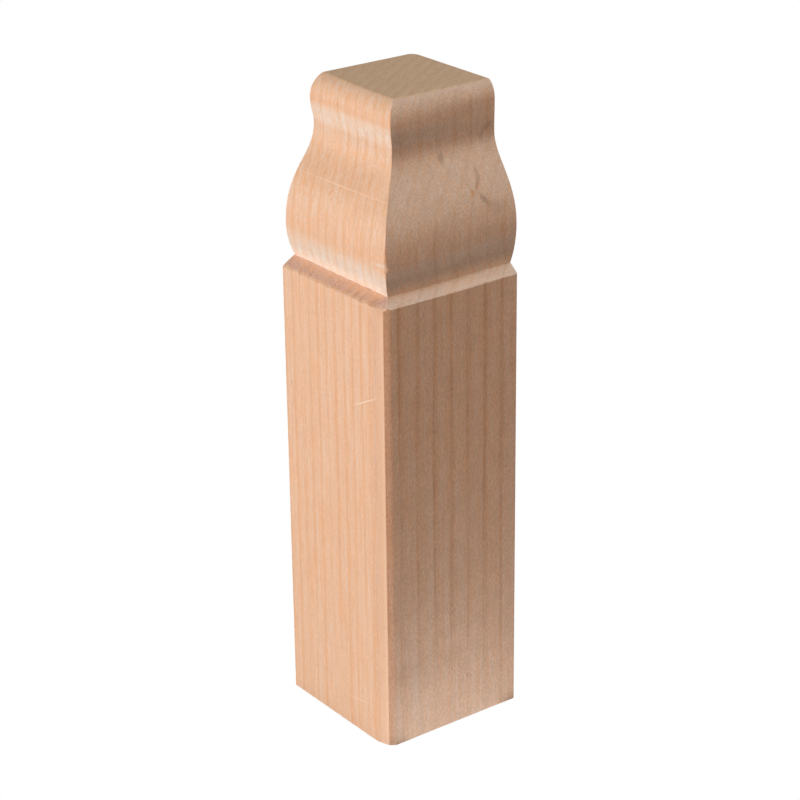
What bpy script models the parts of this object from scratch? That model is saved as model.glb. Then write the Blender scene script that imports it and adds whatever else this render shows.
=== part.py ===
"""Corner trim block for skirting boards, cut from one stick of pale wood.

The block stands upright in the corner of a room, and a skirting board butts against each of its two
room-side faces. Up to board height it is a plain square shaft. Above that, the same moulding runs across
both room-side faces and is mitred at the near corner: a chamfer up into a V groove, a full bulb, a cove
and a small nose under the flat top. The other two faces are flat and lie against the walls.

Metres, +Z up. The origin is the middle of the underside. The moulded faces look along -Y (the front) and
+X (the side), and the wall faces along -X and +Y.
"""

import math

import bmesh
import bpy

# The stick
SIDE = 0.028575
SHAFT_HEIGHT = 0.0818
MOULDING_HEIGHT = 0.0325

# The moulding on the side face. A depth is measured in from the face, a rise up from the top of the
# shaft, and a drop down from the top face.
GROOVE_DEPTH = 0.00185
GROOVE_RISE = 0.0016
BULB_DEPTH = 0.00025
BULB_RISE = 0.0080
COVE_DEPTH = 0.0065
COVE_DROP = 0.0084
NOSE_DEPTH = 0.0059
NOSE_DROP = 0.0037
CROWN_DEPTH = 0.0088

# The nose's round would come level this far above the top face, which cuts it off at a fine arris
CROWN_CROP = 0.00015

# The front face was moulded this much deeper than the side face
FRONT_EXTRA_DEPTH = 0.0008

# How much of the height from bulb to cove each of the two bends takes up
BULB_FULLNESS = 0.58
COVE_FULLNESS = 0.34
NECK_FULLNESS = 0.40

# Upright edges. The near edge is worn further back along the front face than along the side face.
NEAR_EDGE_FRONT_REACH = 0.0029
NEAR_EDGE_SIDE_REACH = 0.00165
BACK_EDGE_REACH = 0.0014
END_EDGE_REACH = 0.0003

# How far the cutters stand clear of the stick, and how finely the curves are divided
CUTTER_OVERLAP = 0.003
CURVE_STEPS = 12
WELD_DISTANCE = 0.000001
SHARP_ANGLE = math.radians(25)

# Handle length, as a share of the reach, with which a Bezier span follows a quarter circle. The near
# edge's is shorter, which makes it flatter across the corner.
QUARTER_ARC = 0.5523
NEAR_EDGE_FULLNESS = 0.42

WOOD_COLOUR = (0.62, 0.42, 0.27, 1.0)
WOOD_ROUGHNESS = 0.6

HEIGHT = SHAFT_HEIGHT + MOULDING_HEIGHT


def remove_old_objects():
    """Empties the scene."""
    for old in list(bpy.data.objects):
        bpy.data.objects.remove(old, do_unlink=True)


def new_collection(name):
    """Returns a new collection linked to the scene."""
    collection = bpy.data.collections.new(name)
    bpy.context.scene.collection.children.link(collection)
    return collection


def wood_material():
    """Returns the bare wood's material."""
    material = bpy.data.materials.new("pale_wood")
    material.use_nodes = True
    shader = material.node_tree.nodes["Principled BSDF"]
    shader.inputs["Base Color"].default_value = WOOD_COLOUR
    shader.inputs["Roughness"].default_value = WOOD_ROUGHNESS
    shader.inputs["Metallic"].default_value = 0.0
    return material


def knot(point, handle_in=None, handle_out=None):
    """One corner or smooth point of an outline. A side with no handle is straight."""
    return point, handle_in, handle_out


def outline_curve(name, knots, thickness):
    """Returns a flat curve object: the closed outline through the knots, extruded about its own plane."""
    curve = bpy.data.curves.new(name, "CURVE")
    curve.dimensions = "2D"
    curve.fill_mode = "BOTH"
    curve.extrude = thickness / 2
    curve.resolution_u = CURVE_STEPS
    curve.render_resolution_u = CURVE_STEPS

    spline = curve.splines.new("BEZIER")
    spline.bezier_points.add(len(knots) - 1)
    spline.use_cyclic_u = True
    for bezier_point, (point, handle_in, handle_out) in zip(spline.bezier_points, knots):
        bezier_point.co = (*point, 0.0)
        for side, handle in (("left", handle_in), ("right", handle_out)):
            setattr(bezier_point, f"handle_{side}_type", "VECTOR" if handle is None else "FREE")
            if handle is not None:
                setattr(bezier_point, f"handle_{side}", (*handle, 0.0))
    return bpy.data.objects.new(name, curve)


def solid_from_outline(name, knots, thickness, collection, location, rotation):
    """Returns a closed mesh object: the outline's curve, placed, made a mesh and welded at its caps."""
    guide = outline_curve(f"{name}_outline", knots, thickness)
    guide.location = location
    guide.rotation_euler = rotation
    collection.objects.link(guide)
    bpy.context.view_layer.update()

    depsgraph = bpy.context.evaluated_depsgraph_get()
    mesh = bpy.data.meshes.new_from_object(guide.evaluated_get(depsgraph))
    mesh.name = name
    weld(mesh)
    solid = bpy.data.objects.new(name, mesh)
    solid.matrix_world = guide.matrix_world.copy()
    collection.objects.link(solid)
    bpy.data.objects.remove(guide, do_unlink=True)
    return solid


def weld(mesh):
    """Joins a curve's loose caps to its walls, and turns every face outwards."""
    shape = bmesh.new()
    shape.from_mesh(mesh)
    bmesh.ops.remove_doubles(shape, verts=shape.verts, dist=WELD_DISTANCE)
    bmesh.ops.recalc_face_normals(shape, faces=shape.faces)
    shape.to_mesh(mesh)
    shape.free()


def stick_knots():
    """The stick's plan: a square whose four upright edges are each rounded, as far as their own reach.

    A corner gives its signs, its reach along x and along y, and its fullness.
    """
    half = SIDE / 2
    corners = (
        (1, -1, NEAR_EDGE_FRONT_REACH, NEAR_EDGE_SIDE_REACH, NEAR_EDGE_FULLNESS),
        (1, 1, END_EDGE_REACH, END_EDGE_REACH, QUARTER_ARC),
        (-1, 1, BACK_EDGE_REACH, BACK_EDGE_REACH, QUARTER_ARC),
        (-1, -1, END_EDGE_REACH, END_EDGE_REACH, QUARTER_ARC),
    )
    knots = []
    for x_sign, y_sign, x_reach, y_reach, fullness in corners:
        x, y = x_sign * half, y_sign * half
        on_x_face = (x, y - y_sign * y_reach)
        on_y_face = (x - x_sign * x_reach, y)
        handle_on_x_face = (x, y - y_sign * y_reach * (1 - fullness))
        handle_on_y_face = (x - x_sign * x_reach * (1 - fullness), y)
        if x_sign * y_sign < 0:
            knots.append(knot(on_y_face, handle_out=handle_on_y_face))
            knots.append(knot(on_x_face, handle_in=handle_on_x_face))
        else:
            knots.append(knot(on_x_face, handle_out=handle_on_x_face))
            knots.append(knot(on_y_face, handle_in=handle_on_y_face))
    return knots


def moulding_knots(extra_depth):
    """The outline of what is cut off one face: x is the depth into the block and y the height.

    The cut follows the moulding from the foot of the chamfer to the crown of the nose. Then it goes round
    outside the stick.
    """
    groove_x = GROOVE_DEPTH + extra_depth
    groove_y = SHAFT_HEIGHT + GROOVE_RISE
    bulb_x = BULB_DEPTH + extra_depth
    bulb_y = SHAFT_HEIGHT + BULB_RISE
    cove_x = COVE_DEPTH + extra_depth
    cove_y = HEIGHT - COVE_DROP
    nose_x = NOSE_DEPTH + extra_depth
    nose_y = HEIGHT - NOSE_DROP
    crown_x = CROWN_DEPTH + extra_depth
    crown_y = HEIGHT + CROWN_CROP

    outside_x = -CUTTER_OVERLAP
    outside_y = HEIGHT + CUTTER_OVERLAP
    chamfer_slope = GROOVE_RISE / groove_x
    chamfer_foot = (outside_x, SHAFT_HEIGHT + chamfer_slope * outside_x)

    # From groove to crest, both handles aim at one corner: on the crest's upright, halfway up to it
    aim_x = bulb_x
    aim_y = (groove_y + bulb_y) / 2
    groove_handle = (groove_x + (aim_x - groove_x) * 2 / 3, groove_y + (aim_y - groove_y) * 2 / 3)
    crest_handle = (bulb_x, bulb_y + (aim_y - bulb_y) * 2 / 3)

    flank = cove_y - bulb_y
    neck = nose_y - cove_y
    nose_rise = crown_y - nose_y
    nose_width = crown_x - nose_x
    return [
        knot(chamfer_foot),
        knot((groove_x, groove_y), handle_out=groove_handle),
        knot((bulb_x, bulb_y), crest_handle, (bulb_x, bulb_y + BULB_FULLNESS * flank)),
        knot((cove_x, cove_y), (cove_x, cove_y - COVE_FULLNESS * flank), (cove_x, cove_y + NECK_FULLNESS * neck)),
        knot((nose_x, nose_y), (nose_x, nose_y - NECK_FULLNESS * neck), (nose_x, nose_y + QUARTER_ARC * nose_rise)),
        knot((crown_x, crown_y), handle_in=(crown_x - QUARTER_ARC * nose_width, crown_y)),
        knot((crown_x, outside_y)),
        knot((outside_x, outside_y)),
    ]


def moulding_cutter(name, extra_depth, location, turn, collection):
    """Returns the solid that one pass of the moulding cutter takes off, right across the stick."""
    length = SIDE + 2 * CUTTER_OVERLAP
    rotation = (math.radians(90), 0.0, turn)
    cutter = solid_from_outline(name, moulding_knots(extra_depth), length, collection, location, rotation)
    cutter.display_type = "WIRE"
    cutter.hide_render = True
    return cutter


def subtract(block, cutter):
    """Adds a Boolean modifier that takes the cutter away from the block."""
    cut = block.modifiers.new(cutter.name, "BOOLEAN")
    cut.operation = "DIFFERENCE"
    cut.solver = "EXACT"
    cut.object = cutter


def apply_cuts(block):
    """Gives the block the mesh that its modifiers make, shaded smooth between its sharp edges."""
    bpy.context.view_layer.update()
    depsgraph = bpy.context.evaluated_depsgraph_get()
    mesh = bpy.data.meshes.new_from_object(block.evaluated_get(depsgraph))
    mesh.name = block.name
    block.modifiers.clear()
    block.data = mesh
    mesh.shade_smooth()
    mesh.set_sharp_from_angle(angle=SHARP_ANGLE)


def make_trim_block():
    """Makes the block: the upright stick, less one pass of the moulding cutter along each room-side face."""
    parts = new_collection("skirting_trim_block")
    cutters = new_collection("cutters")
    middle = (0.0, 0.0, HEIGHT / 2)
    block = solid_from_outline("trim_block", stick_knots(), HEIGHT, parts, middle, (0.0, 0.0, 0.0))
    front = moulding_cutter(
        "front_moulding", FRONT_EXTRA_DEPTH, (0.0, -SIDE / 2, 0.0), math.radians(90), cutters
    )
    side = moulding_cutter("side_moulding", 0.0, (SIDE / 2, 0.0, 0.0), math.radians(180), cutters)
    subtract(block, front)
    subtract(block, side)
    apply_cuts(block)
    block.data.materials.clear()
    block.data.materials.append(wood_material())


remove_old_objects()
make_trim_block()
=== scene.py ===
"""Skirting board trim block: one planed and moulded piece of pale wood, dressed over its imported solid.

Metres, +Z up along the grain, with the origin in the middle of the underside. The front face looks along
-Y and the side face along +X. Both carry the moulding. The two wall faces look along -X and +Y.
"""

import logging
import math
from dataclasses import dataclass, replace
from enum import Enum

import bpy
import numpy as np
from mathutils import Matrix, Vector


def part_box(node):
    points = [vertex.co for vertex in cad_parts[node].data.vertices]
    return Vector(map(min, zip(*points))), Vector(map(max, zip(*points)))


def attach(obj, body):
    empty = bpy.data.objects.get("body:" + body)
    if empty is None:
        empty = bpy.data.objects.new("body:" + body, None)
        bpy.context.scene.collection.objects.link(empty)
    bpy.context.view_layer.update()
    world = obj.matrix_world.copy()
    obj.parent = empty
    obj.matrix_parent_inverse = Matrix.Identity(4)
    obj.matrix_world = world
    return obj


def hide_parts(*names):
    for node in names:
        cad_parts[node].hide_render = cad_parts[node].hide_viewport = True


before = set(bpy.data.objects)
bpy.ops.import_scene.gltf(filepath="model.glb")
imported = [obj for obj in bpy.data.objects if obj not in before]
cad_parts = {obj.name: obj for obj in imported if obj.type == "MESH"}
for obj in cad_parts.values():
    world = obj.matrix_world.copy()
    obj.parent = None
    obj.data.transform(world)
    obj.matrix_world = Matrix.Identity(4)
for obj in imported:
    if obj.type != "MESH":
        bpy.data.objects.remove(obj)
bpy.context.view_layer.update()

MM = 0.001
BLOCK_MIDDLE = np.array([0.0, 0.0, 0.06])
SMALLEST = 1e-15

Point = tuple[float, float, float]
Places = tuple[tuple[float, float], ...]
Paint = tuple[float, float, float, float]
Socket = bpy.types.NodeSocket

log = logging.getLogger("trim_block")


def smooth_step(values: np.ndarray, low: float, high: float) -> np.ndarray:
    """Eases numbers from 0 at low to 1 at high, with the smooth cubic 3t^2 - 2t^3 between them.

    Args:
        values: The numbers to ease.
        low: Where the step starts.
        high: Where the step ends. It may be less than low.

    Returns:
        An array of the same shape, from 0 to 1.
    """
    share = np.clip((values - low) / (high - low), 0.0, 1.0)
    return share * share * (3.0 - 2.0 * share)


def rough_line(length: float, spacing: float, seed: int, places: np.ndarray) -> np.ndarray:
    """Reads a jagged line: random values from -1 to 1 at even spacing, joined by straight stretches.

    Args:
        length: How far the line runs, from -length / 2 to length / 2.
        spacing: The distance between two of its corners.
        seed: Fixes the random values.
        places: Where to read the line.

    Returns:
        The line's height at each place.
    """
    corners = np.arange(-length / 2, length / 2 + spacing, spacing)
    values = np.random.default_rng(seed).uniform(-1.0, 1.0, corners.size)
    return np.interp(places, corners, values)


def between(start: np.ndarray, end: np.ndarray, share: np.ndarray) -> np.ndarray:
    """Returns the places at each share of the way from start to end, a row by a column."""
    return start[:, None] + (end - start)[:, None] * share


def number_grid(rows: int, columns: int) -> tuple[np.ndarray, np.ndarray]:
    """Numbers the points of a grid whose rows close on themselves, and joins them by faces.

    Args:
        rows: How many rows the grid has.
        columns: How many points a row has.

    Returns:
        The points' numbers, a row by a column, and the four numbers of each face.
    """
    index = np.arange(rows * columns).reshape(rows, columns)
    following = np.roll(index, -1, axis=1)
    quads = np.stack([index[:-1], following[:-1], following[1:], index[1:]], axis=2)
    return index, quads.reshape(-1, 4)


def pose(across: np.ndarray, up: np.ndarray, back: np.ndarray, place: np.ndarray) -> Matrix:
    """Makes an object's matrix.

    Args:
        across: The direction of its own X.
        up: The direction of its own Y.
        back: The direction of its own Z.
        place: Where it stands.

    Returns:
        The matrix.
    """
    matrix = np.eye(4)
    for column, values in enumerate((across, up, back, place)):
        matrix[:3, column] = values
    return Matrix(matrix.tolist())


@dataclass(frozen=True)
class MouldingRun:
    """The moulding's outline on one face. Depths go in from the face, heights up from the underside."""

    ledge_height: float
    groove_depth: float
    groove_height: float
    bulb_depth: float
    bulb_height: float
    cove_depth: float
    cove_height: float
    nose_depth: float
    nose_height: float
    crown_depth: float
    crown_height: float = 114.45 * MM
    bulb_fullness: float = 0.58
    cove_fullness: float = 0.34
    neck_fullness: float = 0.40
    quarter_arc: float = 0.5523
    aim_share: float = 2 / 3
    span_points: int = 60

    def spans(self) -> list[tuple[np.ndarray, ...]]:
        """Works out the outline above the groove as cubic Bezier spans.

        From groove to bulb, both handles aim at one corner: on the bulb's upright, halfway up to it.

        Returns:
            The spans from the groove up to the crown, of four (depth, height) points each.
        """
        groove = np.array([self.groove_depth, self.groove_height])
        bulb = np.array([self.bulb_depth, self.bulb_height])
        cove = np.array([self.cove_depth, self.cove_height])
        nose = np.array([self.nose_depth, self.nose_height])
        crown = np.array([self.crown_depth, self.crown_height])
        inwards = np.array([1.0, 0.0])
        upwards = np.array([0.0, 1.0])
        aim = bulb * inwards + (groove + bulb) / 2 * upwards
        flank = (cove - bulb) * upwards
        neck = (nose - cove) * upwards
        arc = self.quarter_arc * (crown - nose)
        return [
            (groove, groove + self.aim_share * (aim - groove), bulb + self.aim_share * (aim - bulb), bulb),
            (bulb, bulb + self.bulb_fullness * flank, cove - self.cove_fullness * flank, cove),
            (cove, cove + self.neck_fullness * neck, nose - self.neck_fullness * neck, nose),
            (nose, nose + arc * upwards, crown - arc * inwards, crown),
        ]

    def depth(self, heights: np.ndarray) -> np.ndarray:
        """Works out how deep the moulding lies at each height.

        Points on each span are (1-t)^3 A + 3(1-t)^2 t B + 3(1-t) t^2 C + t^3 D. The depth at a height is
        read between them. Below the groove it runs straight down to nothing at the ledge.

        Args:
            heights: Heights above the underside, of any shape.

        Returns:
            The depth at each height, in the same shape.
        """
        share = np.linspace(0.0, 1.0, self.span_points)
        weights = np.stack(
            [(1 - share) ** 3, 3 * (1 - share) ** 2 * share, 3 * (1 - share) * share**2, share**3], axis=1
        )
        outline = np.concatenate([weights @ np.array(span) for span in self.spans()])
        outline = np.concatenate([[[0.0, self.ledge_height]], outline])
        return np.interp(heights, outline[:, 1], outline[:, 0])


@dataclass(frozen=True)
class TornLedge:
    """The foot of the front moulding, where the cutter crossed the fibres and left a ragged, eased arris."""

    start_far: float = 81.65 * MM
    start_near: float = 81.95 * MM
    dip_near: float = 1.1 * MM
    dip_start: float = 3.4 * MM
    dip_end: float = 0.7 * MM
    ease_far: float = 1.3
    ease_near: float = 1.15
    tooth_height: float = 0.20 * MM
    tooth_spacing: float = 0.42 * MM
    wave_height: float = 0.10 * MM
    wave_spacing: float = 2.3 * MM
    seed: int = 11

    def depth(self, along: np.ndarray, heights: np.ndarray, run: MouldingRun, side: float) -> np.ndarray:
        """Works out the depth of the ledge: groove depth times (share of the way up)^ease.

        The ledge starts lower and turns in more softly at the far end than at the near corner. A jagged
        line of fine teeth on a slow wave moves its start up and down.

        Args:
            along: Places along the face, from -side / 2 to side / 2.
            heights: Heights above the underside, in the same shape.
            run: The moulding above the ledge.
            side: The face's width.

        Returns:
            The depth at each place, right up to the groove.
        """
        near = smooth_step(along, -side / 2, side / 4)
        teeth = self.tooth_height * rough_line(2 * side, self.tooth_spacing, self.seed, along)
        wave = self.wave_height * rough_line(2 * side, self.wave_spacing, self.seed + 1, along)
        dip_share = (along - side / 2 + self.dip_start) / (self.dip_start - self.dip_end)
        dip = self.dip_near * np.clip(dip_share, 0.0, 1.0)
        start = self.start_far + (self.start_near - self.start_far) * near - dip + teeth + wave
        ease = self.ease_far + (self.ease_near - self.ease_far) * near
        share = np.clip((heights - start) / (run.groove_height - start), 0.0, 1.0)
        return run.groove_depth * share**ease


@dataclass
class MouldedBlock:
    """The whole block as one closed skin: a grid that goes round the block and up it."""

    side: float
    height: float
    front_run: MouldingRun
    front_run_far: MouldingRun
    side_run_near: MouldingRun
    side_run_far: MouldingRun
    torn_ledge: TornLedge
    near_front_reach: float = 3.0 * MM
    near_side_reach: float = 1.9 * MM
    near_knots: Places = ((1.12, 0.0), (1.0, 0.0), (0.24, 0.42), (0.04, 0.84), (0.0, 1.0))
    near_bends: Places = ((0.9, 0.16), (0.10, 0.10), (0.35, 0.9))
    back_radius: float = 1.4 * MM
    end_radius: float = 0.3 * MM
    arris: float = 0.12 * MM
    nick_height: float = 88.9 * MM
    nick_reach: float = 0.40 * MM
    nick_size: float = 0.55 * MM
    torn_from: float = 0.25 * MM
    torn_full: float = 0.85 * MM
    torn_fade: float = 0.2 * MM
    worn_from: float = 0.9
    worn_full: float = 0.4
    worn_fade: float = 2 * MM
    moulded_columns: int = 120
    wall_columns: int = 18
    bend_points: int = 6
    corner_columns: int = 6
    back_columns: int = 9
    arris_rows: int = 5
    row_stops: Places = ((80.3 * MM, 26), (84.2 * MM, 60), (91 * MM, 26), (106 * MM, 40), (112 * MM, 20))
    top_rows: int = 22
    cap_shares: tuple[float, ...] = (0.004, 0.03, 0.12, 0.3, 0.55, 0.8)

    def row_heights(self) -> tuple[np.ndarray, np.ndarray]:
        """Works out the rows' heights, which lie closest where the moulding bends most.

        An arris of radius a follows a quarter circle: height a (1 - cos t) and inset a (1 - sin t).

        Returns:
            Each row's height, and how far the whole row is drawn in at the foot and top arrises.
        """
        turn = np.linspace(0.0, math.pi / 2, self.arris_rows)
        rise = self.arris * (1 - np.cos(turn))
        inset = self.arris * (1 - np.sin(turn))
        stretches = []
        start = self.arris
        for stop, rows in self.row_stops:
            stretches.append(np.linspace(start, stop, rows)[1:])
            start = stop
        stretches.append(np.linspace(start, self.height - self.arris, self.top_rows)[1:-1])
        middle = np.concatenate(stretches)
        heights = np.concatenate([rise, middle, self.height - rise[::-1]])
        insets = np.concatenate([inset, np.zeros(middle.size), inset[::-1]])
        return heights, insets

    def front_depth(self, along: np.ndarray, heights: np.ndarray) -> np.ndarray:
        """Works out the front's depth: the torn ledge up to the groove, and the moulding above it.

        Args:
            along: Places along the face, from -side / 2 at its far end to side / 2.
            heights: Heights above the underside, in the same shape.

        Returns:
            The depth at each place.
        """
        far = smooth_step(-along, 0.0, self.side / 2)
        plain = self.front_run.depth(heights)
        plain = plain + (self.front_run_far.depth(heights) - plain) * far
        torn = self.torn_ledge.depth(along, heights, self.front_run, self.side)
        return np.where(heights < self.front_run.groove_height, torn, plain)

    def side_depth(self, along: np.ndarray, heights: np.ndarray) -> np.ndarray:
        """Works out the side's depth, which passes from one outline to another towards its far end.

        Args:
            along: Places along the face, from -side / 2 to side / 2 at its far end.
            heights: Heights above the underside, in the same shape.

        Returns:
            The depth at each place.
        """
        far = smooth_step(along, -self.side / 4, self.side / 2)
        near_depth = self.side_run_near.depth(heights)
        far_depth = self.side_run_far.depth(heights)
        return near_depth + (far_depth - near_depth) * far

    def rounding_left(self, stock_radius: float, cut: np.ndarray) -> np.ndarray:
        """Works out what a cut leaves of the rounding at the outer end of its face, as a radius.

        The cut edge stands (r, r - cut) from the middle of the stock's round of radius r. The round still
        crops it by as much as that is further out than r, and a round of radius crop / (sqrt 2 - 1) crops
        a square edge as much. Elsewhere only a fine arris is left.

        Args:
            stock_radius: The radius on the uncut stick.
            cut: The depth of the face's cut at each row.

        Returns:
            The radius at each row.
        """
        crop = np.hypot(stock_radius, np.maximum(stock_radius - cut, 0.0)) - stock_radius
        return np.maximum(self.arris, crop / (math.sqrt(2) - 1))

    def near_plan(self) -> np.ndarray:
        """Works out the plan of the near edge, worn to one long flat, a ridge and one short flat.

        Each bend is the quadratic span (1-t)^2 A + 2 (1-t) t B + t^2 C about its knot B. A and C lie on the
        two flats that meet there, by the bend's shares of their lengths.

        Returns:
            A point a row: how far it is from the sharp edge, as shares of the front and the side reach.
        """
        knots = np.array(self.near_knots)
        t = np.linspace(0.0, 1.0, self.bend_points)[:, None]
        spans = [knots[:1]]
        for before, bend, after, (share_in, share_out) in zip(knots, knots[1:], knots[2:], self.near_bends):
            start = bend + share_in * (before - bend)
            end = bend + share_out * (after - bend)
            spans.append((1 - t) ** 2 * start + 2 * (1 - t) * t * bend + t**2 * end)
        spans.append(knots[-1:])
        return np.concatenate(spans)

    def near_corner(self, heights: np.ndarray, side_cut: np.ndarray) -> tuple[np.ndarray, np.ndarray]:
        """Works out the near edge's points: what both cuts leave of its worn plan, with a fine arris.

        Each point of the plan is moved in to x = -side cut and to y = front cut where it lies further out.
        The arris, and the nick's Gaussian bump with it, adds a small copy of the plan.

        Args:
            heights: The rows' heights.
            side_cut: The depth of the side face's cut at each row.

        Returns:
            The points' x and y from the stick's sharp edge, a row by a column each.
        """
        plan = self.near_plan()[None]
        x = np.minimum(-self.near_front_reach * plan[..., 0], -side_cut[:, None])
        front_cut = self.front_depth(self.side / 2 + x, heights[:, None] + 0.0 * x)
        y = np.maximum(self.near_side_reach * plan[..., 1], front_cut)
        nick = self.nick_size * np.exp(-(((heights - self.nick_height) / self.nick_reach) ** 2))
        cut = np.clip((front_cut[:, -1] + side_cut) / self.near_side_reach, 0.0, 1.0)
        arris = (self.arris * cut + nick)[:, None]
        return x - arris * plan[..., 0], y + arris * plan[..., 1]

    def corner(
        self, x: np.ndarray, y: np.ndarray, radius: np.ndarray, start: float, columns: int
    ) -> tuple[np.ndarray, np.ndarray]:
        """Works out one upright edge's round: middle + radius (cos a, sin a) over a quarter turn.

        Args:
            x: The sharp edge's x at each row.
            y: The sharp edge's y at each row.
            radius: The round's radius at each row.
            start: The angle at which the round begins.
            columns: How many points the round has.

        Returns:
            The points' x and y, a row by a column each.
        """
        angles = np.linspace(start, start + math.pi / 2, columns)[None, :]
        middle_angle = start + math.pi / 4
        middle_x = x[:, None] - np.sign(math.cos(middle_angle)) * radius[:, None]
        middle_y = y[:, None] - np.sign(math.sin(middle_angle)) * radius[:, None]
        return middle_x + radius[:, None] * np.cos(angles), middle_y + radius[:, None] * np.sin(angles)

    def wall_grid(self) -> np.ndarray:
        """Works out the skin's points, a row by a column by x, y and z.

        Each row is the plan of the block at its height. It goes from the left end of the front along the
        front, round the near corner, along the side face and back round the two wall faces. The front
        lies its depth in from y = -side / 2 and the side face its depth in from x = side / 2.

        Returns:
            The grid of points.
        """
        half = self.side / 2
        heights, insets = self.row_heights()
        row_count = heights.size
        upright = np.full(row_count, half)

        front_far = self.front_depth(-upright, heights)
        side_near = self.side_depth(-upright, heights)
        side_far = self.side_depth(upright, heights)
        near_x, near_y = self.near_corner(heights, side_near)
        near_x = half + near_x - insets[:, None]
        near_y = -half + near_y + insets[:, None]

        left = -half + insets
        back = half - insets
        far_x = half - side_far - insets
        far_y = -half + front_far + insets
        end_radius = self.rounding_left(self.end_radius, side_far)
        left_radius = self.rounding_left(self.end_radius, front_far)
        back_radius = np.full(row_count, self.back_radius)

        share = np.linspace(0.0, 1.0, self.moulded_columns)[None, 1:-1]
        wall_share = np.linspace(0.0, 1.0, self.wall_columns)[None, 1:-1]
        level = heights[:, None]

        front_x = between(left + left_radius, near_x[:, 0], share)
        side_y = between(near_y[:, -1], back - end_radius, share)
        back_x = between(far_x - end_radius, left + back_radius, wall_share)
        left_y = between(back - back_radius, far_y + left_radius, wall_share)
        front_y = -half + self.front_depth(front_x, level + 0.0 * front_x) + insets[:, None]
        side_x = half - self.side_depth(side_y, level + 0.0 * side_y) - insets[:, None]
        back_y = back[:, None] + 0.0 * back_x
        left_x = left[:, None] + 0.0 * left_y

        quarter = math.pi / 2
        end = self.corner(far_x, back, end_radius, 0.0, self.corner_columns)
        rear = self.corner(left, back, back_radius, quarter, self.back_columns)
        front_left = self.corner(left, far_y, left_radius, 2 * quarter, self.corner_columns)
        x = np.concatenate([front_x, near_x, side_x, end[0], back_x, rear[0], left_x, front_left[0]], axis=1)
        y = np.concatenate([front_y, near_y, side_y, end[1], back_y, rear[1], left_y, front_left[1]], axis=1)
        z = level + 0.0 * x
        return np.stack([x, y, z], axis=2)

    def closed_grid(self) -> np.ndarray:
        """Adds the underside's and the top's rings to the wall's grid, each drawn in towards its middle.

        Returns:
            The closed grid of points.
        """
        wall = self.wall_grid()
        shares = np.array(self.cap_shares)[:, None, None]
        foot_middle = (wall[0].min(axis=0) + wall[0].max(axis=0)) / 2
        top_middle = (wall[-1].min(axis=0) + wall[-1].max(axis=0)) / 2
        foot_rings = foot_middle + (wall[0][None] - foot_middle) * (1 - shares[::-1])
        top_rings = top_middle + (wall[-1][None] - top_middle) * (1 - shares)
        return np.concatenate([foot_rings, wall, top_rings])

    def normals(self, grid: np.ndarray) -> np.ndarray:
        """Works out the outward unit normals: the cross product of the steps along a row and up a column.

        Args:
            grid: The closed grid of points.

        Returns:
            Each point's normal, a row by a column by x, y and z.
        """
        along = np.roll(grid, -1, axis=1) - np.roll(grid, 1, axis=1)
        up = np.gradient(grid, axis=0)
        normal = np.cross(along, up)
        size = np.linalg.norm(normal, axis=2, keepdims=True)
        return normal / np.maximum(size, SMALLEST)

    def torn_share(self, grid: np.ndarray) -> np.ndarray:
        """Finds the front's torn ledge: where a column lies deeper than on the shaft, below the groove.

        Args:
            grid: The closed grid of points.

        Returns:
            1 on the torn ledge and 0 elsewhere, a row by a column.
        """
        groove = self.front_run.groove_height
        shaft = np.abs(grid[:, 0, 2] - self.side).argmin()
        inwards = smooth_step(grid[..., 1] - grid[shaft, :, 1], self.torn_from, self.torn_full)
        share = inwards * smooth_step(grid[..., 2], groove + self.torn_fade, groove)
        share[:, self.moulded_columns + 2 * self.bend_points :] = 0.0
        return share

    def worn_share(self, grid: np.ndarray) -> np.ndarray:
        """Finds the long flat that wear left beside the near edge's ridge.

        Args:
            grid: The closed grid of points.

        Returns:
            1 on the long flat and 0 elsewhere, a row by a column.
        """
        ledge = self.front_run.ledge_height
        ridge = self.near_knots[2][1] * self.near_side_reach - self.side / 2
        back = (self.side / 2 - grid[..., 0]) / self.near_front_reach
        share = smooth_step(back, self.worn_from, self.worn_full)
        share = share * smooth_step(grid[..., 2], ledge, ledge - self.worn_fade)
        share[grid[..., 1] > ridge] = 0.0
        return share

    def build(self, name: str) -> bpy.types.Object:
        """Makes the block's object from the closed grid, with a pole in the middle of each cap.

        Args:
            name: The object's name.

        Returns:
            The object, with the point attributes cut_across, under, side_on, torn and worn.
        """
        grid = self.closed_grid()
        rows, columns = grid.shape[:2]
        poles = [grid[0].mean(axis=0), grid[-1].mean(axis=0)]
        points = np.concatenate([grid.reshape(-1, 3), poles])
        index, quads = number_grid(rows, columns)
        foot_pole = np.full(columns, index.size)
        foot_fan = np.stack([np.roll(index[0], -1), index[0], foot_pole], axis=1)
        top_fan = np.stack([index[-1], np.roll(index[-1], -1), foot_pole + 1], axis=1)

        mesh = bpy.data.meshes.new(name)
        mesh.from_pydata(points.tolist(), [], quads.tolist() + foot_fan.tolist() + top_fan.tolist())
        mesh.shade_smooth()
        normals = self.normals(grid)
        shares = {
            "cut_across": np.append(np.abs(normals[..., 2]), [1.0, 1.0]),
            "under": np.append(np.clip(-normals[..., 2], 0.0, 1.0), [1.0, 0.0]),
            "side_on": np.append(np.abs(normals[..., 0]), [0.0, 0.0]),
            "torn": np.append(self.torn_share(grid), [0.0, 0.0]),
            "worn": np.append(self.worn_share(grid), [0.0, 0.0]),
        }
        for title, values in shares.items():
            layer = mesh.attributes.new(title, "FLOAT", "POINT")
            layer.data.foreach_set("value", values.astype(np.float32))
        mesh.update()
        block = bpy.data.objects.new(name, mesh)
        bpy.context.scene.collection.objects.link(block)
        return block


@dataclass(frozen=True)
class Ramp:
    """A smooth step: its foot as far as start, and its top from full on. Full may be less than start."""

    start: float
    full: float
    top: float = 1.0
    foot: float = 0.0


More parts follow.
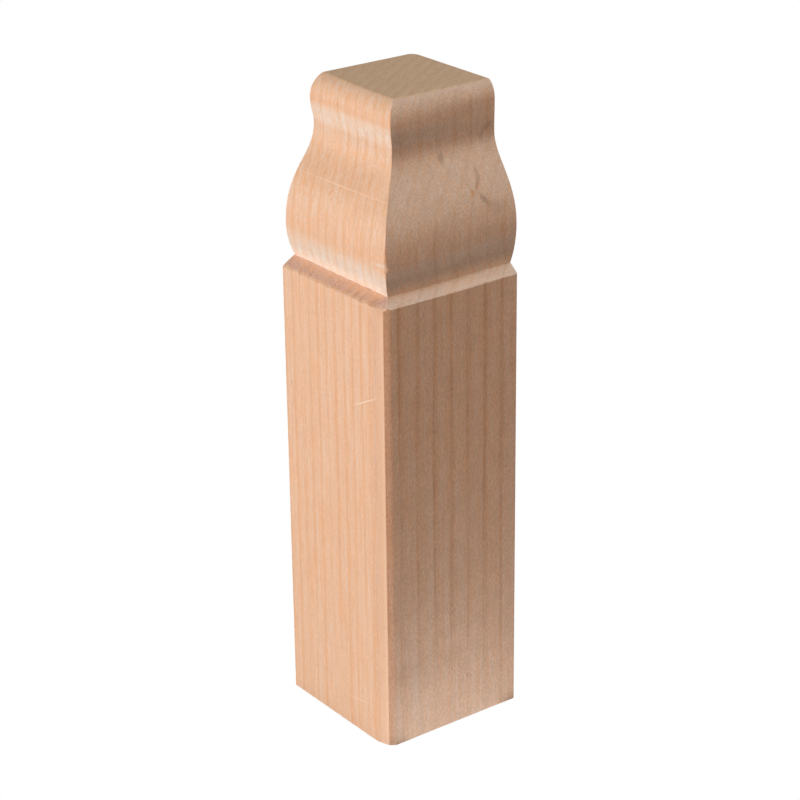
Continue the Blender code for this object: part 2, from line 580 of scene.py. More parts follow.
class NodeBoard:
    """A material's node tree, with short calls for the nodes that the finishes use."""

    def __init__(self, material: bpy.types.Material) -> None:
        """Empties the material's tree and keeps it.

        Args:
            material: The material to make.
        """
        material.use_nodes = True
        self.tree = material.node_tree
        self.tree.nodes.clear()

    def add(self, kind: str, **settings: object) -> bpy.types.Node:
        """Adds a node of a kind and gives it its settings.

        Args:
            kind: The node's type.
            **settings: Its properties by name.

        Returns:
            The new node.
        """
        node = self.tree.nodes.new(kind)
        for name, value in settings.items():
            setattr(node, name, value)
        return node

    def feed(self, target: Socket, value: object) -> None:
        """Gives an input its value.

        Args:
            target: The input.
            value: A plain value, or the output of another node, which is linked.
        """
        if isinstance(value, Socket):
            self.tree.links.new(value, target)
        else:
            target.default_value = value

    def calc(self, operation: str, *values: object) -> Socket:
        """Adds a math node.

        Args:
            operation: What it does.
            *values: Its numbers or the outputs that it reads.

        Returns:
            Its result.
        """
        node = self.add("ShaderNodeMath", operation=operation)
        for target, value in zip(node.inputs, values):
            self.feed(target, value)
        return node.outputs[0]

    def times(self, first: object, *others: object) -> Socket:
        """Multiplies numbers and outputs together.

        Args:
            first: The first of them.
            *others: The rest of them.

        Returns:
            Their product.
        """
        product = first
        for other in others:
            product = self.calc("MULTIPLY", product, other)
        return product

    def fade(self, value: Socket, ramp: Ramp) -> Socket:
        """Adds a smooth step.

        Args:
            value: The output to step.
            ramp: Where it steps, and from what to what.

        Returns:
            The stepped value.
        """
        node = self.add("ShaderNodeMapRange", interpolation_type="SMOOTHSTEP")
        self.feed(node.inputs["Value"], value)
        node.inputs["From Min"].default_value = ramp.start
        node.inputs["From Max"].default_value = ramp.full
        node.inputs["To Min"].default_value = ramp.foot
        node.inputs["To Max"].default_value = ramp.top
        return node.outputs[0]

    def attribute(self, name: str) -> Socket:
        """Returns a point attribute of the mesh."""
        return self.add("ShaderNodeAttribute", attribute_name=name).outputs["Fac"]

    def placed(self, place: Socket, turn: Point, origin: Point = (0.0, 0.0, 0.0)) -> Socket:
        """Adds a mapping to axes that are turned about x, y and z, and start from an origin.

        Args:
            place: The coordinates to change.
            turn: How far the new axes are turned.
            origin: The point that becomes the new origin.

        Returns:
            The changed coordinates.
        """
        node = self.add("ShaderNodeMapping", vector_type="TEXTURE")
        self.feed(node.inputs["Vector"], place)
        node.inputs["Location"].default_value = origin
        node.inputs["Rotation"].default_value = turn
        return node.outputs["Vector"]

    def noise(self, place: Socket, size: Point, detail: float = 2.0, rough: float = 0.5) -> Socket:
        """Adds a noise whose lumps have about the given size along x, y and z.

        Args:
            place: The coordinates that it reads.
            size: The size of a lump, in metres.
            detail: How many finer layers it has.
            rough: How strong the finer layers are.

        Returns:
            The noise, mostly between 0.3 and 0.7.
        """
        mapping = self.add("ShaderNodeMapping")
        mapping.inputs["Scale"].default_value = (1 / size[0], 1 / size[1], 1 / size[2])
        self.feed(mapping.inputs["Vector"], place)
        texture = self.add("ShaderNodeTexNoise", noise_dimensions="3D")
        texture.inputs["Scale"].default_value = 1.0
        texture.inputs["Detail"].default_value = detail
        texture.inputs["Roughness"].default_value = rough
        self.feed(texture.inputs["Vector"], mapping.outputs["Vector"])
        return texture.outputs["Fac"]

    def blend(self, share: object, beneath: object, above: object, way: str = "MIX") -> Socket:
        """Adds a colour mix.

        Args:
            share: How much of the upper colour shows.
            beneath: The lower colour or output.
            above: The upper colour or output.
            way: How the two are combined.

        Returns:
            The mixed colour.
        """
        node = self.add("ShaderNodeMix", data_type="RGBA", blend_type=way)
        self.feed(node.inputs[0], share)
        self.feed(node.inputs[6], beneath)
        self.feed(node.inputs[7], above)
        return node.outputs[2]


class WoodBoard(NodeBoard):
    """The wood's node tree, with the coordinates and point attributes that its layers read."""

    def __init__(self, material: bpy.types.Material, ring_lean: float) -> None:
        """Adds the nodes that the layers share.

        Args:
            material: The material to make.
            ring_lean: How far the rings are turned from the block's own axes.
        """
        super().__init__(material)
        self.own = self.add("ShaderNodeTexCoord").outputs["Object"]
        self.grain = self.placed(self.own, (0.0, 0.0, ring_lean))
        parts = self.add("ShaderNodeSeparateXYZ")
        self.feed(parts.inputs[0], self.own)
        self.depth = parts.outputs["Y"]
        self.height = parts.outputs["Z"]
        self.cut = self.attribute("cut_across")
        self.under = self.attribute("under")
        self.side_on = self.attribute("side_on")
        self.torn = self.attribute("torn")
        self.worn = self.attribute("worn")


@dataclass(frozen=True)
class Mark:
    """A scratch, a smudge or a patch of painted shade: a soft ellipsoid about a point, inside which another
    colour shows.

    The point and the reaches are in millimetres, and the turn about x, y and z is in degrees.
    """

    middle: Point
    turn: Point
    reach: Point
    paint: Paint
    strength: float
    outside: float = 1.5
    inside: float = 0.7
    grit: Point = (0.35 * MM, 0.35 * MM, 0.5 * MM)
    grit_reach: float = 0.9

    def lay(self, board: WoodBoard, wood: Socket) -> Socket:
        """Lays the mark over the wood. It fades with the length of (x, y, z) over its reaches, plus a grit.

        Args:
            board: The wood's tree.
            wood: The colour beneath.

        Returns:
            The marked colour.
        """
        turn = tuple(math.radians(angle) for angle in self.turn)
        middle = tuple(part * MM for part in self.middle)
        share = board.add("ShaderNodeVectorMath", operation="DIVIDE")
        board.feed(share.inputs[0], board.placed(board.own, turn, middle))
        share.inputs[1].default_value = tuple(part * MM for part in self.reach)
        length = board.add("ShaderNodeVectorMath", operation="LENGTH")
        board.feed(length.inputs[0], share.outputs[0])
        grit = board.noise(board.own, self.grit, rough=0.6)
        ragged = board.calc("MULTIPLY_ADD", grit, self.grit_reach, length.outputs["Value"])
        shown = board.fade(ragged, Ramp(self.outside, self.inside, self.strength))
        return board.blend(shown, wood, self.paint)


class Blemish(Enum):
    """The marks seen on the block, with patches of painted shade on the side face's bulb and cove. Those on
    the front run along x, and those on the side face along y.
    """

    SHAFT_SCRATCH = Mark((9.3, -14.2, 64.5), (0, -27, 0), (5.0, 1.0, 0.18), (0.82, 0.67, 0.53, 1), 0.65)
    FOOT_SCRATCH = Mark((6.4, -14.2, 6.2), (0, -9, 0), (5.5, 1.0, 0.16), (0.80, 0.62, 0.46, 1), 0.45)
    CUTTER_LINE = Mark((-1.3, -10.5, 98.6), (0, -0.8, 0), (15, 1.6, 0.13), (0.82, 0.62, 0.47, 1), 0.6)
    FLANK_SMUDGE = Mark((8.5, 2.6, 103.3), (80, 0, 0), (3, 1.2, 0.85), (0.33, 0.20, 0.14, 1), 0.45)
    FLANK_STREAK = Mark((10.7, 8.4, 99.8), (80, 0, 0), (3, 2.2, 0.65), (0.42, 0.24, 0.15, 1), 0.4)
    REDDISH_BEAD = Mark((11.6, 7.7, 98.5), (65, 0, 0), (3, 1.3, 0.55), (0.50, 0.24, 0.13, 1), 0.5)
    ORANGE_FLECK = Mark((12.2, 6.2, 97.4), (70, 0, 0), (3, 0.9, 0.5), (0.66, 0.31, 0.12, 1), 0.8)
    BULB_SMUDGE = Mark((12.9, 8.2, 96.2), (-50, 0, 0), (3, 1.8, 0.7), (0.33, 0.20, 0.13, 1), 0.55)
    # Painted shade: the next two marks darken the side face's bulb and cove where shade falls.
    BULB_SHADE = Mark((13.5, 10.2, 94.6), (-15, 0, 0), (3, 3.2, 1.6), (0.42, 0.26, 0.18, 1), 0.3)
    COVE_SHADE = Mark((8.0, 12.6, 106.8), (30, 0, 0), (3, 1.5, 0.7), (0.34, 0.20, 0.13, 1), 0.4)
    COVE_SMUDGE = Mark((8.0, 11.4, 105.3), (75, 0, 0), (3, 1.6, 0.7), (0.36, 0.22, 0.15, 1), 0.35)


@dataclass(frozen=True)
class Streaks:
    """Streaks or specks of another colour, which show where a noise of their size in mm is strong."""

    size: Point
    shown: Ramp
    paint: Paint
    detail: float = 2.0
    rough: float = 0.6

    def noise(self, board: NodeBoard, place: Socket) -> Socket:
        """Returns the noise that the streaks come from."""
        return board.noise(place, tuple(part * MM for part in self.size), self.detail, self.rough)

    def lay(self, board: NodeBoard, place: Socket, wood: object, where: object = 1.0) -> Socket:
        """Lays the streaks over the wood.

        Args:
            board: The material's tree.
            place: The coordinates that the noise reads.
            wood: The colour beneath.
            where: How much of the streaks may show at each place.

        Returns:
            The streaked colour.
        """
        shown = board.fade(self.noise(board, place), self.shown)
        return board.blend(board.times(shown, where), wood, self.paint)


@dataclass(frozen=True)
class RingLines:
    """How the growth rings show on one face.

    A line lies at start across the rings. It sets in over the edge, fades out over the tail, both as
    shares of the rings' spacing, and is as strong as its share.
    """

    start: float
    edge: float
    tail: float
    share: float


@dataclass(frozen=True)
class PaleWood:
    """Bare pale softwood with straight upright grain, planed on its faces and cut across at its top.

    The ramps with heights in their names read the height above the underside, those with slopes how far
    the skin faces down or is cut across the grain, and those with faces how far it faces along x.
    """

    name: str = "pale_wood"
    roughness: float = 0.62
    specular: float = 0.3
    pores: Point = (0.12 * MM, 0.12 * MM, 1.6 * MM)
    pore_depth: float = 0.05 * MM
    pore_strength: float = 0.35

    early: Paint = (0.676, 0.421, 0.269, 1.0)
    late: Paint = (0.55, 0.28, 0.145, 1.0)
    stripe: Paint = (0.640, 0.350, 0.190, 1.0)
    end_early: Paint = (0.83, 0.513, 0.292, 1.0)
    end_late: Paint = (0.70, 0.405, 0.226, 1.0)
    torn_fibre: Paint = (0.64, 0.445, 0.365, 1.0)
    # Worn long flat beside the near edge: paler worn fibre, partly painted light that lifts the flat where it
    # turns from the key lamp.
    worn_fibre_and_light: Paint = (0.79, 0.555, 0.395, 1.0)

    milled_tint: Paint = (1.03, 1.105, 1.16, 1.0)
    # Painted light: a cool pale lift on faces that look down, standing in for light bounced up from the white
    # floor.
    floor_bounce_tint: Paint = (1.08, 1.29, 1.54, 1.0)
    crest_tint: Paint = (1.0, 1.04, 1.08, 1.0)
    # Painted light: paler, cooler front cove and undersides, standing in for light bounced up from the white
    # floor.
    front_bounce_tint: Paint = (0.97, 1.05, 1.13, 1.0)
    # Painted shade: a darker band in the side face's cove, under the nose.
    side_cove_shade: Paint = (0.90, 0.92, 0.94, 1.0)
    # Painted light: brighter undersides just above the groove, standing in for light bounced about inside it.
    groove_bounce_tint: Paint = (1.35, 1.40, 1.45, 1.0)
    ledge_tint: Paint = (1.0, 1.07, 1.12, 1.0)
    # Painted light: a paler strip on the side face beside the near edge, standing in for light that its short
    # flat misses.
    short_flat_light: Paint = (1.08, 1.13, 1.18, 1.0)

    ring_lean: float = math.radians(34.5)
    ring_spacing: float = 2.04 * MM
    ring_wander: float = 0.4 * MM
    wander_size: Point = (7 * MM, 7 * MM, 90 * MM)
    side_rings: RingLines = RingLines(-16.84 * MM, 0.12, 0.32, 0.80)
    front_rings: RingLines = RingLines(-17.70 * MM, 0.14, 0.50, 0.98)
    end_rings: RingLines = RingLines(-16.84 * MM, 0.2, 0.6, 0.3)
    break_size: Point = (1.2 * MM, 1.2 * MM, 35 * MM)
    line_breaks: Ramp = Ramp(0.3, 0.6, 1.0, 0.45)
    line_heights: Ramp = Ramp(86 * MM, 83 * MM, 1.0, 0.6)
    line_foot_heights: Ramp = Ramp(2 * MM, 25 * MM, 1.0, 0.55)
    line_slopes: Ramp = Ramp(0.5, 0.05, 1.0, 0.65)

    soft_streaks: Streaks = Streaks((0.8, 0.8, 40), Ramp(0.45, 0.68, 0.45), (0.70, 0.49, 0.35, 1.0), 1.0, 0.5)
    orange_fibres: Streaks = Streaks((0.42, 6, 9), Ramp(0.46, 0.64, 0.75), (0.69, 0.375, 0.205, 1.0))
    pale_fibres: Streaks = Streaks((0.28, 2, 5), Ramp(0.52, 0.70, 0.50), (0.70, 0.49, 0.35, 1.0))
    blotches: Streaks = Streaks((0.42, 0.9, 1.0), Ramp(0.52, 0.68, 0.55), (0.70, 0.345, 0.155, 1.0))
    mottle: Streaks = Streaks((0.45, 2.4, 2.4), Ramp(0.38, 0.62, 0.45), (0.70, 0.405, 0.226, 1.0), 3.0)
    end_specks: Streaks = Streaks((0.5, 0.7, 1), Ramp(0.42, 0.62, 0.45), (0.86, 0.59, 0.395, 1.0), 3.0, 0.7)
    fuzz: Streaks = Streaks((0.15, 0.15, 1.5), Ramp(0.52, 0.66, 0.6), (0.78, 0.60, 0.47, 1.0))
    # Pale specks on the side face: dust and fibre, and partly painted sheen.
    dust_and_sheen: Streaks = Streaks((0.3, 0.3, 0.4), Ramp(0.62, 0.74, 0.6), (0.78, 0.60, 0.47, 1.0))
    # Dark shreds on the torn ledge: torn fibre, and partly painted shadow of the ragged edge.
    shreds_and_shadow: Streaks = Streaks((0.26, 0.26, 1.5), Ramp(0.46, 0.66, 0.6), (0.41, 0.20, 0.115, 1.0))
    fleck_size: Point = (0.16 * MM, 0.16 * MM, 0.6 * MM)
    fleck_shade: Ramp = Ramp(0.3, 0.7, 0.13, -0.13)
    patch_size: Point = (3 * MM, 3 * MM, 3 * MM)
    patch_shade: Ramp = Ramp(0.3, 0.7, 0.03, -0.03)

    side_veil: float = 0.4
    front_shade_share: float = 0.45
    front_groove_share: float = 0.3
    worn_share: float = 0.75
    fuzz_lean: float = math.radians(20)
    ragged_reach: float = 2.4
    ragged_edge: Ramp = Ramp(0.35, 0.65)

    side_faces: Ramp = Ramp(0.3, 0.7)
    square_faces: Ramp = Ramp(0.5, 0.9)
    front_faces: Ramp = Ramp(0.6, 0.2)
    moulded_heights: Ramp = Ramp(83 * MM, 86 * MM)
    above_heights: Ramp = Ramp(83 * MM, 84.5 * MM)
    groove_heights: Ramp = Ramp(86.4 * MM, 84 * MM)
    cove_foot_heights: Ramp = Ramp(103.5 * MM, 105.5 * MM)
    cove_top_heights: Ramp = Ramp(109.5 * MM, 107 * MM)
    shaft_heights: Ramp = Ramp(83 * MM, 81.5 * MM)
    # Painted light: the strip of the side face beside the near edge that its tint lifts.
    short_flat_depths: Ramp = Ramp(-12.0 * MM, -12.9 * MM)
    milled_slopes: Ramp = Ramp(0.03, 0.4)
    upward_slopes: Ramp = Ramp(0.2, 0.0)
    upright_slopes: Ramp = Ramp(0.4, 0.0)
    # Where the painted floor bounce light shows: how far the skin faces down.
    bounce_slopes: Ramp = Ramp(-0.06, 0.26)
    hairy_slopes: Ramp = Ramp(0.02, 0.14)
    hollow_slopes: Ramp = Ramp(0.0, 0.3)
    groove_slopes: Ramp = Ramp(0.02, 0.3)
    end_slopes: Ramp = Ramp(0.8, 0.99)

    def rings(self, board: WoodBoard, lines: RingLines) -> Socket:
        """Draws the ring lines as they show on one face.

        A place's distance past the last line is its distance across the rings, moved by a slow wander,
        less the lines' start, over the spacing and without its whole part.

        Args:
            board: The wood's tree.
            lines: How they show there.

        Returns:
            How much of the lines' colour shows at each place.
        """
        parts = board.add("ShaderNodeSeparateXYZ")
        board.feed(parts.inputs[0], board.grain)
        wander = board.noise(board.grain, self.wander_size, detail=1.0, rough=0.4)
        shift = board.calc("MULTIPLY_ADD", wander, self.ring_wander, -lines.start - self.ring_wander / 2)
        distance = board.calc("ADD", parts.outputs["X"], shift)
        past = board.calc("FRACT", board.times(distance, 1 / self.ring_spacing))
        edge = board.fade(past, Ramp(1.0 - lines.edge, 1.0))
        tail = board.fade(past, Ramp(lines.tail, 0.0))
        return board.times(board.calc("MAXIMUM", edge, tail), lines.share)

    def planed(self, board: WoodBoard) -> Socket:
        """Makes the colour of a planed face: ring lines, soft stripes, fine upright fibres and flecks.

        The rings are narrow dark lines on the side face, and broad soft stripes on the front.

        Args:
            board: The wood's tree.

        Returns:
            The colour.
        """
        side = board.fade(board.side_on, self.side_faces)
        front = board.calc("MULTIPLY_ADD", side, -1.0, 1.0)
        broken = board.fade(board.noise(board.grain, self.break_size), self.line_breaks)
        plain = board.times(
            board.fade(board.height, self.line_heights),
            board.fade(board.height, self.line_foot_heights),
            board.fade(board.cut, self.line_slopes),
        )
        stripe = board.times(self.rings(board, self.front_rings), broken, front)
        wood = board.blend(stripe, self.early, self.stripe)
        line = board.times(self.rings(board, self.side_rings), broken, plain, side)
        wood = board.blend(line, wood, self.late)

        clear = board.calc("MULTIPLY_ADD", side, -self.side_veil, 1.0)
        moulded = board.fade(board.height, self.moulded_heights)
        wood = self.soft_streaks.lay(board, board.grain, wood)
        wood = self.orange_fibres.lay(board, board.grain, wood, clear)
        wood = self.pale_fibres.lay(board, board.grain, wood, clear)
        wood = self.blotches.lay(board, board.grain, wood, board.times(moulded, clear))

        fleck = board.fade(board.noise(board.grain, self.fleck_size, rough=0.6), self.fleck_shade)
        patch = board.fade(board.noise(board.grain, self.patch_size), self.patch_shade)
        share = board.calc("MULTIPLY_ADD", side, 1.0 - self.front_shade_share, self.front_shade_share)
        change = board.calc("ADD", fleck, patch)
        return board.blend(1.0, wood, board.calc("MULTIPLY_ADD", change, share, 1.0), "MULTIPLY")

    def tinted(self, board: WoodBoard, wood: Socket) -> Socket:
        """Tints the wood where the cutter milled it, and paints light and shade into it: floor bounce light
        on faces that look down and in the front's hollows, bounce light in the groove, shade in the side
        face's cove, and light on the side face's short flat beside the near edge.

        Args:
            board: The wood's tree.
            wood: The planed wood's colour.

        Returns:
            The tinted colour.
        """
        fade, times, side = board.fade, board.times, board.side_on
        height, cut, under = board.height, board.cut, board.under
        milled = times(fade(cut, self.milled_slopes), fade(under, self.upward_slopes))
        above = fade(height, self.above_heights)
        crest = times(above, side, fade(cut, self.upright_slopes))
        cove = times(fade(height, self.cove_foot_heights), fade(height, self.cove_top_heights))
        hollow = board.calc("MAXIMUM", cove, times(above, fade(under, self.hollow_slopes)))
        low = fade(height, self.groove_heights)
        sunk = board.calc("MULTIPLY_ADD", side, 1.0 - self.front_groove_share, self.front_groove_share)
        shaft = fade(height, self.shaft_heights)
        short_flat_lit = times(fade(board.depth, self.short_flat_depths), shaft, fade(side, self.square_faces))
        # Besides the milled, crest and ledge tints, these paint light and shade: floor bounce, groove bounce,
        # cove shade and light on the short flat.
        tints = (
            (milled, self.milled_tint),
            (fade(under, self.bounce_slopes), self.floor_bounce_tint),
            (crest, self.crest_tint),
            (times(hollow, fade(side, self.front_faces)), self.front_bounce_tint),
            (times(cove, side), self.side_cove_shade),
            (times(low, fade(under, self.groove_slopes), sunk), self.groove_bounce_tint),
            (times(low, milled, side), self.ledge_tint),
            (short_flat_lit, self.short_flat_light),
        )
        for share, tint in tints:
            wood = board.blend(share, wood, tint, "MULTIPLY")
        return wood

    def roughed(self, board: WoodBoard, wood: Socket) -> Socket:
        """Lays the fuzz, the worn edge partly lifted by painted light, the pale dust specks with painted
        sheen, and the torn ledge whose dark shreds are partly painted shadow over the wood.

        Args:
            board: The wood's tree.
            wood: The colour beneath.

        Returns:
            The colour with them.
        """
        hairy = board.times(board.fade(board.under, self.hairy_slopes), board.side_on)
        wood = self.fuzz.lay(board, board.placed(board.own, (self.fuzz_lean, 0.0, 0.0)), wood, hairy)
        # The worn long flat: paler worn fibre, partly painted light standing in for key light that the flat
        # turns from.
        wood = board.blend(board.times(board.worn, self.worn_share), wood, self.worn_fibre_and_light)
        # Pale specks on the side face: dust and fibre, and partly painted sheen.
        wood = self.dust_and_sheen.lay(board, board.own, wood, board.side_on)

        # Dark shreds on the torn ledge: torn fibre, and partly painted shadow of the ragged edge.
        shreds_and_shadow = self.shreds_and_shadow.noise(board, board.grain)
        ragged = board.calc("MULTIPLY_ADD", shreds_and_shadow, self.ragged_reach, -self.ragged_reach / 2)
        torn = board.fade(board.calc("ADD", board.torn, ragged), self.ragged_edge)
        torn_wood = board.blend(board.fade(shreds_and_shadow, self.shreds_and_shadow.shown), self.torn_fibre, self.shreds_and_shadow.paint)
        return board.blend(torn, wood, torn_wood)

    def end_grain(self, board: WoodBoard) -> Socket:
        """Makes the colour of the top: the rings cut across, with fine streaks along them.

        Args:
            board: The wood's tree.

        Returns:
            The colour.
        """
        end = self.mottle.lay(board, board.grain, self.end_early)
        end = self.end_specks.lay(board, board.grain, end)
        return board.blend(self.rings(board, self.end_rings), end, self.end_late)

    def build(self) -> bpy.types.Material:
        """Makes the wood's material: all its layers and marks, over a fine bump of pores.

        Returns:
            The material.
        """
        material = bpy.data.materials.new(self.name)
        board = WoodBoard(material, self.ring_lean)
        wood = self.roughed(board, self.tinted(board, self.planed(board)))
        wood = board.blend(board.fade(board.cut, self.end_slopes), wood, self.end_grain(board))
        for blemish in Blemish:
            wood = blemish.value.lay(board, wood)

        bump = board.add("ShaderNodeBump")
        bump.inputs["Strength"].default_value = self.pore_strength
        bump.inputs["Distance"].default_value = self.pore_depth
        board.feed(bump.inputs["Height"], board.noise(board.grain, self.pores, rough=0.6))

        shader = board.add("ShaderNodeBsdfPrincipled")
        shader.inputs["Roughness"].default_value = self.roughness
        shader.inputs["Specular IOR Level"].default_value = self.specular
        board.feed(shader.inputs["Base Color"], wood)
        board.feed(shader.inputs["Normal"], bump.outputs["Normal"])
        output = board.add("ShaderNodeOutputMaterial")
        board.feed(output.inputs["Surface"], shader.outputs["BSDF"])
        return material


@dataclass(frozen=True)
class SoftLamp:
    """A round soft lamp on a stand, which looks at the block's middle. Its two angles are in degrees."""

    azimuth: float
    elevation: float
    width: float
    power: float
    colour: tuple[float, float, float]
    distance: float = 0.85

    def stand_and_away(self) -> tuple[np.ndarray, np.ndarray]:
        """Works out where the lamp stands: (sin a cos e, -cos a cos e, sin e) times its distance away.

        Returns:
            Its place, and the direction from the block's middle to it.
        """
        azimuth = math.radians(self.azimuth)
        elevation = math.radians(self.elevation)
        level = math.cos(elevation)
        away = np.array([math.sin(azimuth) * level, -math.cos(azimuth) * level, math.sin(elevation)])
        return BLOCK_MIDDLE + self.distance * away, away


@dataclass(frozen=True)
class FloorGlow:
    """A round glow just under the floor beside the block, which shines straight up."""

    spot: tuple[float, float]
    power: float
    colour: tuple[float, float, float]
    width: float = 0.05
    sunk: float = 0.5 * MM

    def stand_and_away(self) -> tuple[np.ndarray, np.ndarray]:
        """Returns where the glow lies, and the direction from what it lights back to it."""
        return np.array([*self.spot, -self.sunk]), np.array([0.0, 0.0, -1.0])


class Lamp(Enum):
    """The studio's lamps."""

    LOW_KEY = SoftLamp(-15, -20, 0.30, 1.02, (1.0, 0.733, 0.517))
    WARM_KEY = SoftLamp(12, 20, 0.30, 4.90, (1.0, 0.689, 0.519))
    COOL_KEY = SoftLamp(-30, 0, 0.30, 6.05, (0.638, 0.859, 1.0))
    BACK_FILL = SoftLamp(150, 10, 0.50, 3.52, (1.0, 0.766, 0.607))
    BACK_TOP = SoftLamp(150, 60, 0.50, 4.23, (0.576, 0.815, 1.0))
    WALL_FILL = SoftLamp(-130, -12, 0.30, 3.5, (1.0, 0.74, 0.56))
    FLOOR_SIDE = FloorGlow((0.0375, 0.001), 0.0086, (0.786, 0.884, 1.0))
    FLOOR_NEAR = FloorGlow((0.034, -0.026), 0.0019, (0.690, 0.851, 1.0))


@dataclass
class Studio:
    """The plain pale floor and backdrop, the soft lamps and the camera.

    The camera's place, directions and focal length were solved from the block's edges in the photo.
    """

    eye: Point = (0.312497, -0.232731, 0.224331)
    azimuth: float = math.radians(53.3404)
    elevation: float = math.radians(23.1272)
    roll: float = math.radians(-0.7013)
    focal_pixels: float = 2441.0
    picture_pixels: float = 800.0
    sensor_width: float = 36.0
    floor_radius: float = 1.6
    sweep_radius: float = 0.5
    inner_radius: float = 0.02
    level_rings: int = 12
    turned_rings: int = 12
    spokes: int = 72
    ambient: Paint = (0.0, 0.0, 0.0, 1.0)

    def build_camera(self) -> bpy.types.Object:
        """Makes the camera.

        It looks along (-sin a cos e, cos a cos e, -sin e). Its right is level, along (cos a, sin a, 0),
        but for its small roll.

        Returns:
            The camera's object.
        """
        level = math.cos(self.elevation)
        toward = (-math.sin(self.azimuth) * level, math.cos(self.azimuth) * level, -math.sin(self.elevation))
        forward = np.array(toward)
        across = np.array([math.cos(self.azimuth), math.sin(self.azimuth), 0.0])
        upright = np.cross(across, forward)
        right = math.cos(self.roll) * across + math.sin(self.roll) * upright

        data = bpy.data.cameras.new("camera")
        data.sensor_width = self.sensor_width
        data.lens = self.focal_pixels / self.picture_pixels * self.sensor_width
        camera = bpy.data.objects.new("camera", data)
        camera.matrix_world = pose(right, np.cross(right, forward), -forward, np.array(self.eye))
        bpy.context.scene.collection.objects.link(camera)
        bpy.context.scene.camera = camera
        return camera

    def glow(self, name: str, brightness: float) -> bpy.types.Material:
        """Makes a plain white that shines evenly.

        Args:
            name: The material's name.
            brightness: 1 for full white in the picture.

        Returns:
            The material.
        """
        material = bpy.data.materials.new(name)
        material.cycles.emission_sampling = "NONE"
        board = NodeBoard(material)
        light = board.add("ShaderNodeEmission")
        light.inputs["Color"].default_value = (1.0, 1.0, 1.0, 1.0)
        light.inputs["Strength"].default_value = brightness
        output = board.add("ShaderNodeOutputMaterial")
        board.feed(output.inputs["Surface"], light.outputs["Emission"])
        return material

    def build_backdrop(self) -> bpy.types.Object:
        """Makes the floor, which sweeps up all round into a dome, as one surface of revolution.

        Its outline is level out to the sweep, turns up through a quarter circle, and closes overhead along
        a quarter circle. Each point of it is carried round: (r cos a, r sin a, z).

        Returns:
            The floor's object.
        """
        level = np.linspace(self.inner_radius, self.floor_radius - self.sweep_radius, self.level_rings)
        turn = np.linspace(0.0, math.pi / 2, self.turned_rings + 1)[1:]
        sweep_r = self.floor_radius - self.sweep_radius + self.sweep_radius * np.sin(turn)
        sweep_z = self.sweep_radius * (1 - np.cos(turn))
        dome_r = self.floor_radius * np.cos(turn[:-1])
        dome_z = self.sweep_radius + self.floor_radius * np.sin(turn[:-1])
        radius = np.concatenate([level, sweep_r, dome_r])
        height = np.concatenate([0.0 * level, sweep_z, dome_z])
        angle = np.linspace(0.0, 2 * math.pi, self.spokes + 1)[:-1]
        x = radius[:, None] * np.cos(angle)
        y = radius[:, None] * np.sin(angle)
        z = height[:, None] + 0.0 * x
        points = np.stack([x, y, z], axis=2).reshape(-1, 3)
        index, quads = number_grid(radius.size, angle.size)
        mesh = bpy.data.meshes.new("studio_floor")
        mesh.from_pydata(points.tolist(), [], quads.tolist() + [index[0].tolist(), index[-1].tolist()])
        mesh.shade_smooth()
        mesh.materials.append(self.glow("floor_white", 1.0))
        floor = bpy.data.objects.new("studio_floor", mesh)
        bpy.context.scene.collection.objects.link(floor)
        floor.visible_diffuse = False
        floor.visible_glossy = False
        floor.visible_shadow = False
        floor.visible_transmission = False
        return floor

    def build_lamp(self, lamp: Lamp) -> bpy.types.Object:
        """Makes one soft round lamp, which shines along its own -Z.

        Args:
            lamp: Which lamp it is.

        Returns:
            The lamp's object.
        """
        soft = lamp.value
        stand, away = soft.stand_and_away()
        across = np.cross(away, (0.0, 1.0, 0.0))
        across = across / np.linalg.norm(across)

        data = bpy.data.lights.new(lamp.name.lower(), "AREA")
        data.shape = "DISK"
        data.size = soft.width
        data.energy = soft.power
        data.color = soft.colour
        light = bpy.data.objects.new(data.name, data)
        light.matrix_world = pose(across, np.cross(away, across), away, stand)
        light.visible_camera = False
        bpy.context.scene.collection.objects.link(light)
        return light

    def build(self) -> None:
        """Makes the camera, the backdrop, the lamps and the even light of the room."""
        self.build_camera()
        self.build_backdrop()
        for lamp in Lamp:
            self.build_lamp(lamp)
        world = bpy.data.worlds.new("room")
        world.use_nodes = True
        world.node_tree.nodes["Background"].inputs["Color"].default_value = self.ambient
        bpy.context.scene.world = world
        bpy.context.scene.view_settings.view_transform = "Standard"


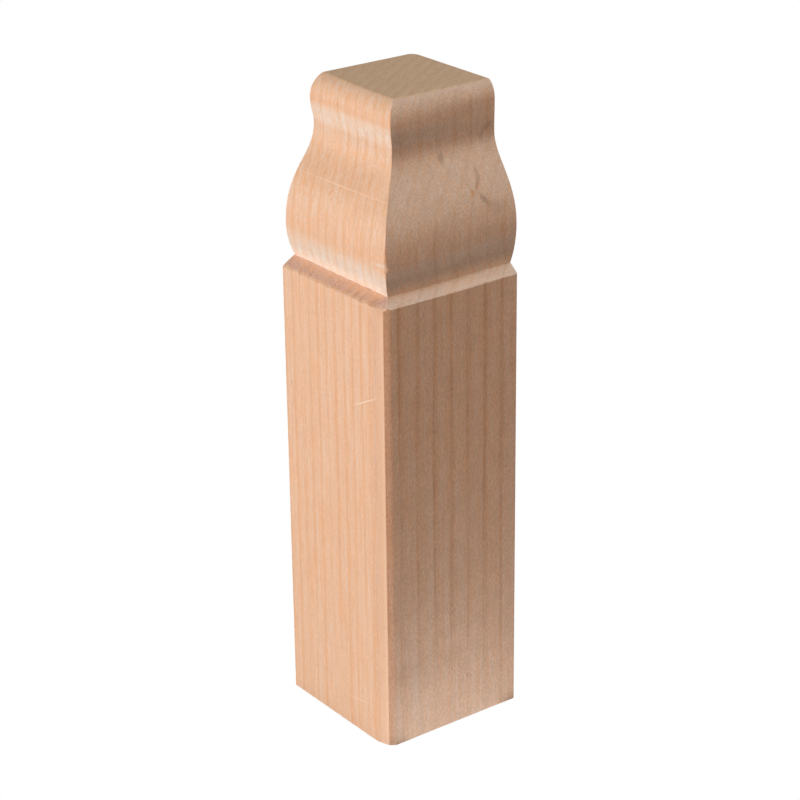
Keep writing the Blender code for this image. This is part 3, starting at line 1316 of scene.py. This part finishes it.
def front_run() -> MouldingRun:
    """Returns the front face's outline."""
    return MouldingRun(
        ledge_height=81.8 * MM,
        groove_depth=2.64 * MM,
        groove_height=83.37 * MM,
        bulb_depth=1.02 * MM,
        bulb_height=89.48 * MM,
        cove_depth=7.32 * MM,
        cove_height=106.03 * MM,
        nose_depth=6.62 * MM,
        nose_height=110.45 * MM,
        crown_depth=9.8 * MM,
        cove_fullness=0.35,
    )


def front_run_far() -> MouldingRun:
    """Returns the front face's outline at its far end, where the crown lies further back."""
    return replace(front_run(), crown_depth=10.7 * MM)


def side_run_near() -> MouldingRun:
    """Returns the side face's outline at the near corner."""
    return MouldingRun(
        ledge_height=81.87 * MM,
        groove_depth=1.85 * MM,
        groove_height=83.40 * MM,
        bulb_depth=0.25 * MM,
        bulb_height=89.35 * MM,
        cove_depth=6.5 * MM,
        cove_height=105.9 * MM,
        nose_depth=5.9 * MM,
        nose_height=110.35 * MM,
        crown_depth=8.8 * MM,
    )


def side_run_far() -> MouldingRun:
    """Returns the side face's outline at its far end, where the neck between cove and nose is nearly gone."""
    return MouldingRun(
        ledge_height=82.07 * MM,
        groove_depth=1.92 * MM,
        groove_height=83.56 * MM,
        bulb_depth=0.33 * MM,
        bulb_height=90.8 * MM,
        cove_depth=6.35 * MM,
        cove_height=105.71 * MM,
        nose_depth=6.26 * MM,
        nose_height=111.3 * MM,
        crown_depth=8.61 * MM,
        bulb_fullness=0.52,
        cove_fullness=0.31,
    )


def main() -> None:
    """Builds the block in its finish, then the studio."""
    logging.basicConfig(level=logging.INFO, format="%(message)s")
    low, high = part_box("trim_block")
    builder = MouldedBlock(
        side=high[0] - low[0],
        height=high[2],
        front_run=front_run(),
        front_run_far=front_run_far(),
        side_run_near=side_run_near(),
        side_run_far=side_run_far(),
        torn_ledge=TornLedge(),
    )
    block = builder.build("moulded_block")
    block.data.materials.append(PaleWood().build())
    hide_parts("trim_block")
    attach(block, "root")
    log.info("moulded_block: %d points, %d faces", len(block.data.vertices), len(block.data.polygons))

    Studio().build()
    log.info("studio: floor, %d lamps and camera", len(Lamp))


if __name__ == "__main__":
    main()
